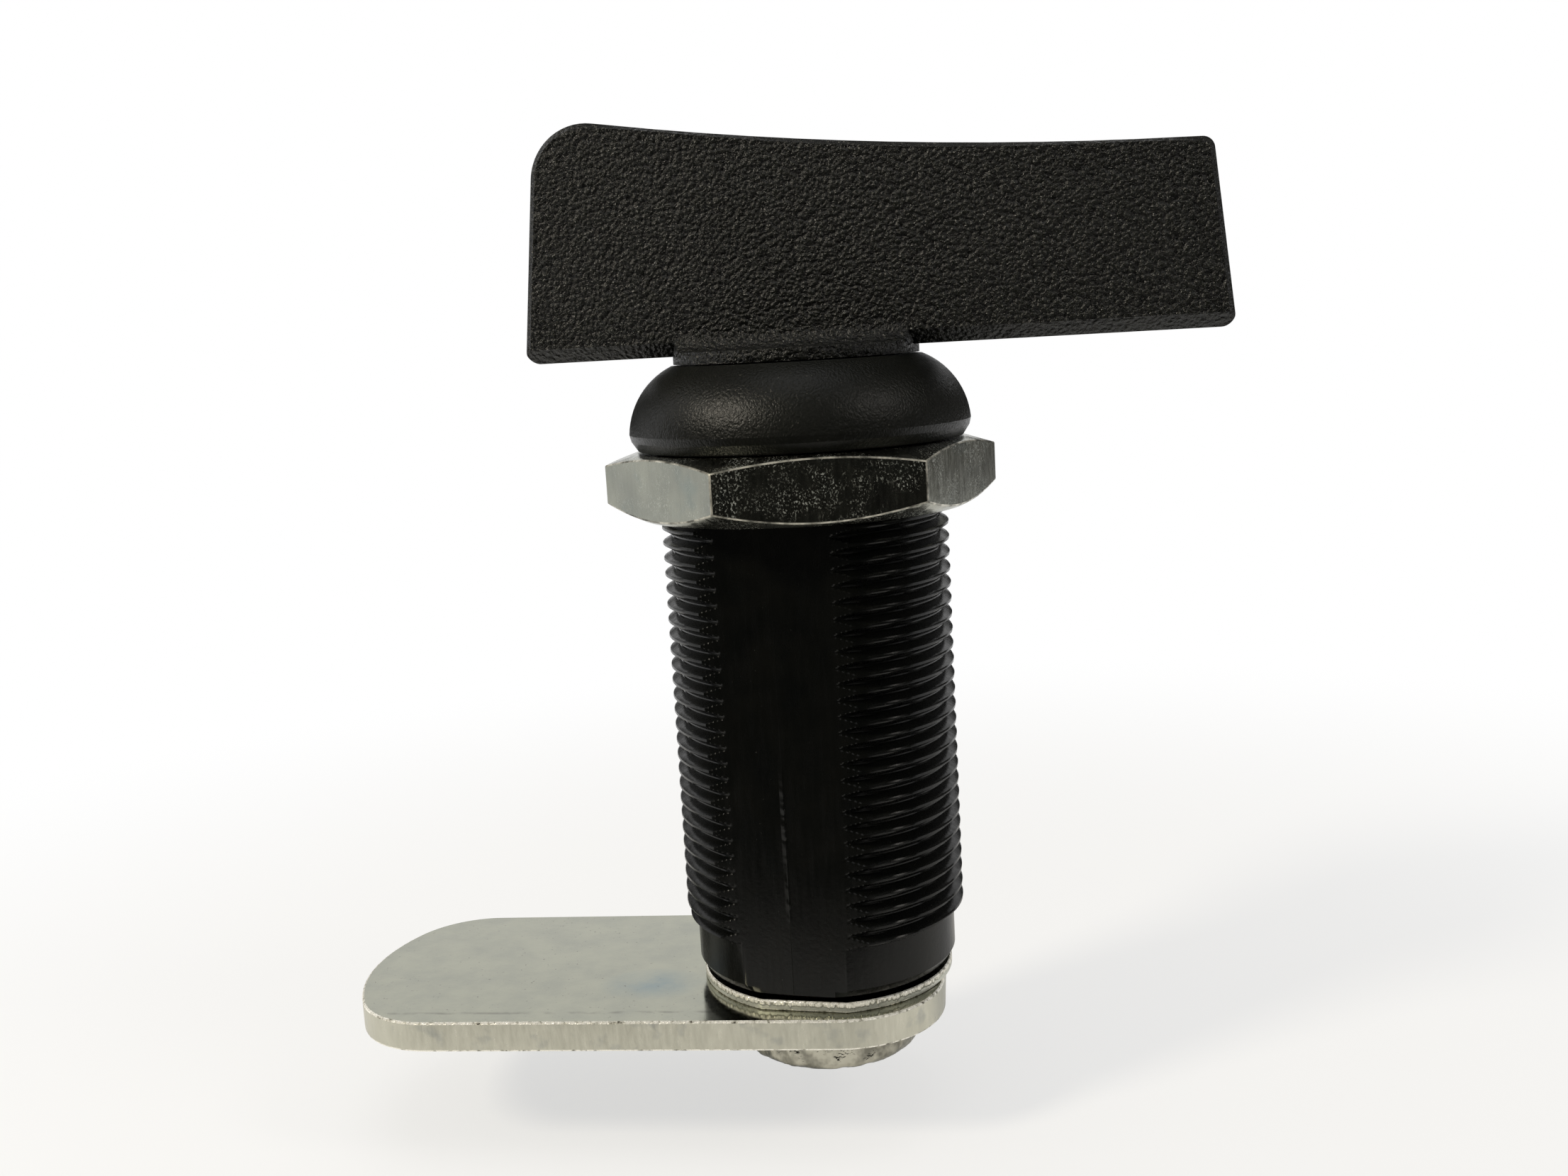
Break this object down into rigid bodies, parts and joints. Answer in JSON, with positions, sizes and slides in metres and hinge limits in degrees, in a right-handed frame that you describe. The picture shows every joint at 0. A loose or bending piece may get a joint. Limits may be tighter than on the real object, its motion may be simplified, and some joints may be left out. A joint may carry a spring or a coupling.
{
  "type": "compression latch",
  "caption": "Wing handle compression latch: turning the wing swings a flat cam a quarter turn, then draws it up towards the panel.",
  "frame": {"origin": "centre of the flange's underside, where the panel bears", "axes": "+Z out of the panel along the shaft towards the wing; the barrel's two flats face +Y and -Y; the cam points about -X when closed"},
  "size_m": [0.0704, 0.0306, 0.073],
  "materials": {
    "black_barrel": "semi-gloss black coat",
    "black_wing": "coarse grained black coat",
    "zinc_nut": "zinc plated, satin",
    "zinc_cam": "zinc plated, satin",
    "zinc_screw": "zinc plated, rough",
    "steel": "ground",
    "spring_steel": "drawn wire",
    "bronze": "sintered",
    "acetal": "natural",
    "seal_rubber": "smooth"
  },
  "bodies": {
    "housing": {"housing": "black_barrel", "thrust_washer": "steel", "end_bush": "bronze", "end_ring": "spring_steel"},
    "nut": {"hex_nut": "zinc_nut"},
    "guide": {"guide_sleeve": "steel", "drag_washer": "acetal"},
    "wing": {"wing_handle": "black_wing", "hub_o_ring": "seal_rubber", "hub_pin": "steel", "drive_tube": "steel", "spring_seat": "acetal"},
    "shaft": {"shaft": "steel", "cross_pin": "steel", "return_spring": "spring_steel", "stop_washer": "zinc_cam", "cam": "zinc_cam", "cam_screw": "zinc_screw"}
  },
  "joints": [
    {"name": "nut_run", "type": "slide", "parent": "housing", "child": "nut", "axis": [0, 0, -1], "range_m": [0, 0.031]},
    {"name": "cam_swing", "type": "hinge", "parent": "housing", "child": "guide", "pos_m": [0, 0, 0], "axis": [0, 0, 1], "range_deg": [-9, 81]},
    {"name": "wing_turn", "type": "hinge", "parent": "guide", "child": "wing", "pos_m": [0, 0, 0], "axis": [0, 0, 1], "range_deg": [0, 90]},
    {"name": "cam_lift", "type": "slide", "parent": "guide", "child": "shaft", "axis": [0, 0, 1], "range_m": [-0.006, 0], "deforming": ["return_spring"]}
  ],
  "couplings": [
    {"joint": "cam_lift", "follows": "wing_turn", "m_per_rad": -0.0038197}
  ]
}
